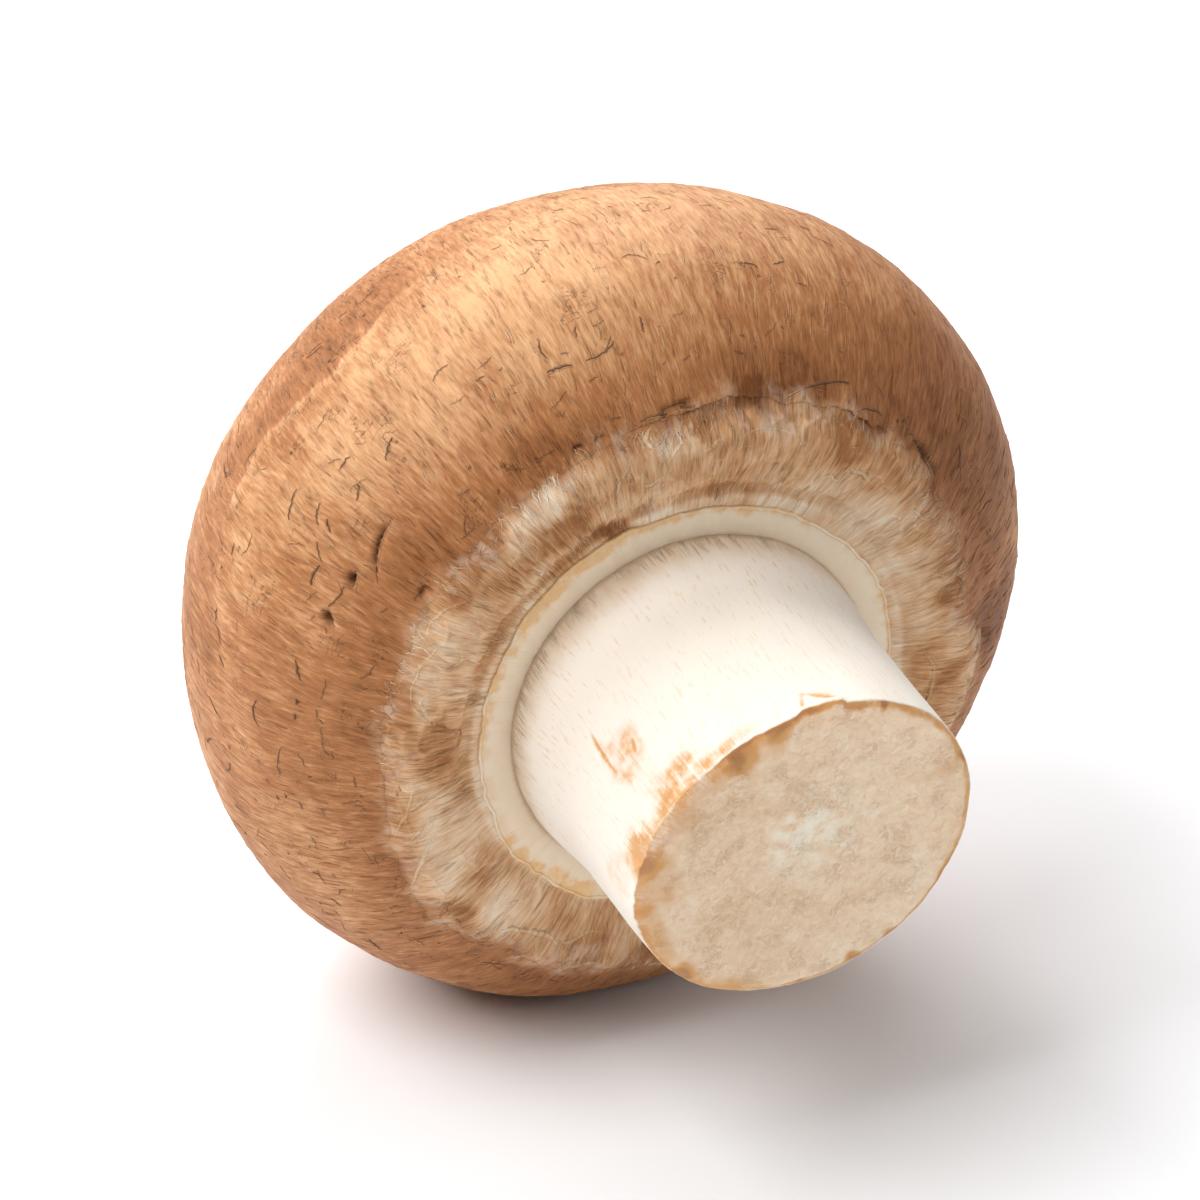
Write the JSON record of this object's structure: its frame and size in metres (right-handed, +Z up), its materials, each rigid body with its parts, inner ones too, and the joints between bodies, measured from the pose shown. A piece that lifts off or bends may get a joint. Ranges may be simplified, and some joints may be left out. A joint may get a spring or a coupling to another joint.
{
  "type": "button mushroom",
  "caption": "Closed-cup brown button mushroom lying on its cap's side: domed cap with rolled margin, closed veil with a torn collar, and a short stem cut off flat.",
  "frame": {"origin": "middle of the bounding box's bottom, on the surface that the mushroom lies on", "axes": "+Z up; -Y along the stem towards its cut foot, which points 4.7 degrees below level; +X to the right when looking at the foot from the front"},
  "size_m": [0.048, 0.047, 0.0468],
  "materials": {
    "cap_skin": "matt to satin brown skin with fine radial fibres, small scales and cracks",
    "veil_membrane": "matt cottony fibres, pale buff with a browner torn edge",
    "stem_flesh": "silky cream flesh with faint long fibres, a matt cut end and a few brown stains"
  },
  "bodies": {
    "root": {"cap": "cap_skin", "veil": "veil_membrane", "stem": "stem_flesh"}
  },
  "joints": []
}
